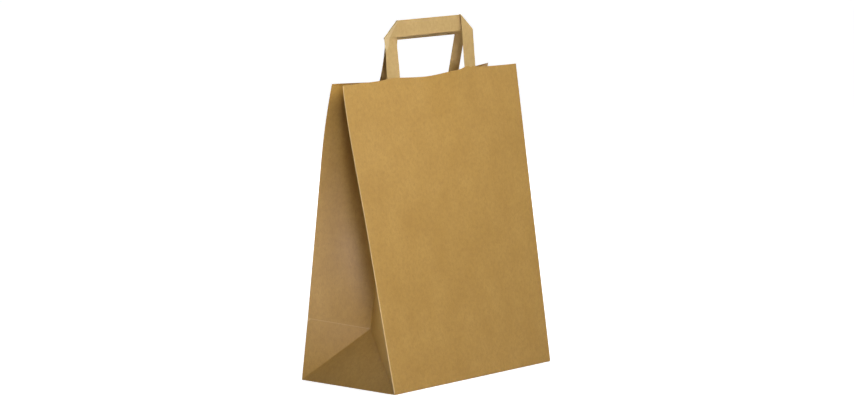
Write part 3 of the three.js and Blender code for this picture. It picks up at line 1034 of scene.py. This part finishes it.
def floor_finish(name):
    finish = bpy.data.materials.new(name)
    finish.use_nodes = True
    tree = finish.node_tree
    tree.nodes.remove(tree.nodes["Principled BSDF"])
    matt = tree.nodes.new("ShaderNodeBsdfDiffuse")
    matt.inputs["Color"].default_value = (FLOOR_GREY, FLOOR_GREY, FLOOR_GREY, 1)
    place = tree.nodes.new("ShaderNodeTexCoord").outputs["Object"]
    distance = tree.nodes.new("ShaderNodeVectorMath")
    distance.operation = "LENGTH"
    tree.links.new(place, distance.inputs[0])
    glow_level = spread(tree, distance.outputs["Value"], GLOW_FROM, GLOW_TO, GLOW_NEAR, GLOW_FAR)
    only_seen = tree.nodes.new("ShaderNodeMath")
    only_seen.operation = "MULTIPLY"
    tree.links.new(glow_level, only_seen.inputs[0])
    tree.links.new(seen_as_ground(tree), only_seen.inputs[1])
    glow = tree.nodes.new("ShaderNodeEmission")
    tree.links.new(only_seen.outputs[0], glow.inputs["Strength"])
    both = tree.nodes.new("ShaderNodeAddShader")
    tree.links.new(matt.outputs[0], both.inputs[0])
    tree.links.new(glow.outputs[0], both.inputs[1])
    tree.links.new(both.outputs[0], tree.nodes["Material Output"].inputs["Surface"])
    return finish


print("floor glows from", GLOW_NEAR, "near the bag to", GLOW_FAR, "far off")

# %% White floor
FLOOR_REACH = 30.0
UNDER = -0.0002  # a hair below the base, so that the two don't share a plane
corners = [(x * FLOOR_REACH, y * FLOOR_REACH, UNDER) for x, y in ((-1, -1), (1, -1), (1, 1), (-1, 1))]
floor_mesh = bpy.data.meshes.new("floor")
floor_mesh.from_pydata(corners, [], [(0, 1, 2, 3)])
floor = bpy.data.objects.new("floor", floor_mesh)
bpy.context.collection.objects.link(floor)
floor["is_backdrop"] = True
floor_mesh.materials.append(floor_finish("pale_floor"))
print("floor, metres:", [round(v) for v in floor.dimensions])

# %% Sky
SKY_LIGHT = 0.03
world = bpy.data.worlds.new("sky")
bpy.context.scene.world = world
world.use_nodes = True
sky = world.node_tree.nodes["Background"]
sky.inputs["Color"].default_value = (1, 1, 1, 1)
sky_level = spread(world.node_tree, seen_as_ground(world.node_tree), 0, 1, SKY_LIGHT, 1)
world.node_tree.links.new(sky_level, sky.inputs["Strength"])
print("sky light:", SKY_LIGHT)

# %% [markdown]
# ## Light
# A studio lights such a bag with a few soft panels. One stands near and above, and makes the top
# paler than the foot. One stands high on the right and leaves the gusset in shade. The gusset
# leans over, so it sees the table more than the room: a low, narrow panel and a bright card that
# lies on the table, both slightly cool, lift it from below, and leave the triangle at its foot
# darker, as that one looks up. One stands behind, for the back, and a weak one looks down into
# the mouth. A single sun or a bright sky would be quicker, but it flattens the folds.

# %% Soft light
COOL = (0.96, 1.0, 1.4)


def soft_panel(name, place, aim, size, power, opening=180, colour=(1, 1, 1)):
    """A round panel that shines from its place to its aim, opening to this many degrees."""
    light = bpy.data.lights.new(name, "AREA")
    light.color = colour
    light.shape = "DISK"
    light.size = size
    light.energy = power
    light.spread = math.radians(opening)
    lamp = bpy.data.objects.new(name, light)
    lamp.location = place
    lamp.rotation_mode = "QUATERNION"
    lamp.rotation_quaternion = (Vector(aim) - Vector(place)).to_track_quat("-Z", "Y")
    lamp.visible_camera = False
    bpy.context.collection.objects.link(lamp)
    print("lamp", name, "of", power, "W")


soft_panel("near", place=(-0.14, -0.50, 0.74), aim=(0, 0, 0.3), size=0.3, power=2.65)
soft_panel("right", place=(0.9, -1.3, 1.0), aim=(0, 0, 0.2), size=0.7, power=5.6)
soft_panel(
    "low_front",
    place=(-0.9, -1.3, 0.12),
    aim=(-0.1, 0, 0.10),
    size=0.5,
    power=1.25,
    opening=60,
    colour=COOL,
)
soft_panel(
    "card",
    place=(-0.28, -0.06, 0.002),
    aim=(-0.28, -0.06, 1),
    size=0.2,
    power=0.23,
    colour=COOL,
)
soft_panel("back", place=(0.9, 1.5, 1.0), aim=(0, 0, 0.2), size=0.8, power=30.0)
soft_panel("above", place=(-0.05, 0.05, 1.4), aim=(-0.05, 0, 0.3), size=0.2, power=0.05, opening=22)

# %% [markdown]
# ## Camera
# The camera stands where the photograph was taken from: its direction, distance and lens were
# worked out from where the corners and folds of the bag lie in the picture. A long lens some way
# off keeps the upright edges nearly parallel. The slight roll is the photograph's own. A Track To
# constraint could aim it, but a constraint has no roll, so the three directions are written out.

# %% Camera
IMAGE_WIDTH = 854  # pixels
LENS_PIXELS = 3575.0  # focal length in pixels of that image
SENSOR = 36  # mm
AZIMUTH = math.radians(-46.57)
ELEVATION = math.radians(8.01)
ROLL = math.radians(-1.02)
DISTANCE = 3.895
AIM = Vector((0, 0, 0.182))
SLIDE_RIGHT = 0.00275
SLIDE_UP = 0.00147
FAR_END = 100

level_part = math.cos(ELEVATION)
behind = Vector((math.sin(AZIMUTH) * level_part, -math.cos(AZIMUTH) * level_part, math.sin(ELEVATION)))
level = Vector((math.cos(AZIMUTH), math.sin(AZIMUTH), 0))
upright = behind.cross(level)
right = level * math.cos(ROLL) + upright * math.sin(ROLL)
up = upright * math.cos(ROLL) - level * math.sin(ROLL)
stand = AIM + behind * DISTANCE + right * SLIDE_RIGHT + up * SLIDE_UP

camera = bpy.data.objects.new("camera", bpy.data.cameras.new("camera"))
bpy.context.collection.objects.link(camera)
camera.data.sensor_width = SENSOR
camera.data.sensor_fit = "HORIZONTAL"
camera.data.lens = LENS_PIXELS / IMAGE_WIDTH * SENSOR
camera.data.clip_end = FAR_END
camera.matrix_world = Matrix.Translation(stand) @ Matrix((right, up, behind)).transposed().to_4x4()
bpy.context.scene.camera = camera
bpy.context.scene.view_settings.view_transform = "Standard"
print("lens", round(camera.data.lens, 1), "mm at", [round(v, 3) for v in stand])

# %% [markdown]
# ## Finish
# The dressed bag is meant to stay the size of the solids, so both boxes are printed side by side.

# %% Print the sizes of both boxes
boxes = {"cad": [list(v) for v in cad_box], "visual": [list(v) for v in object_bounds()]}
print("boxes, mm:", {name: [in_mm(corner) for corner in box] for name, box in boxes.items()})
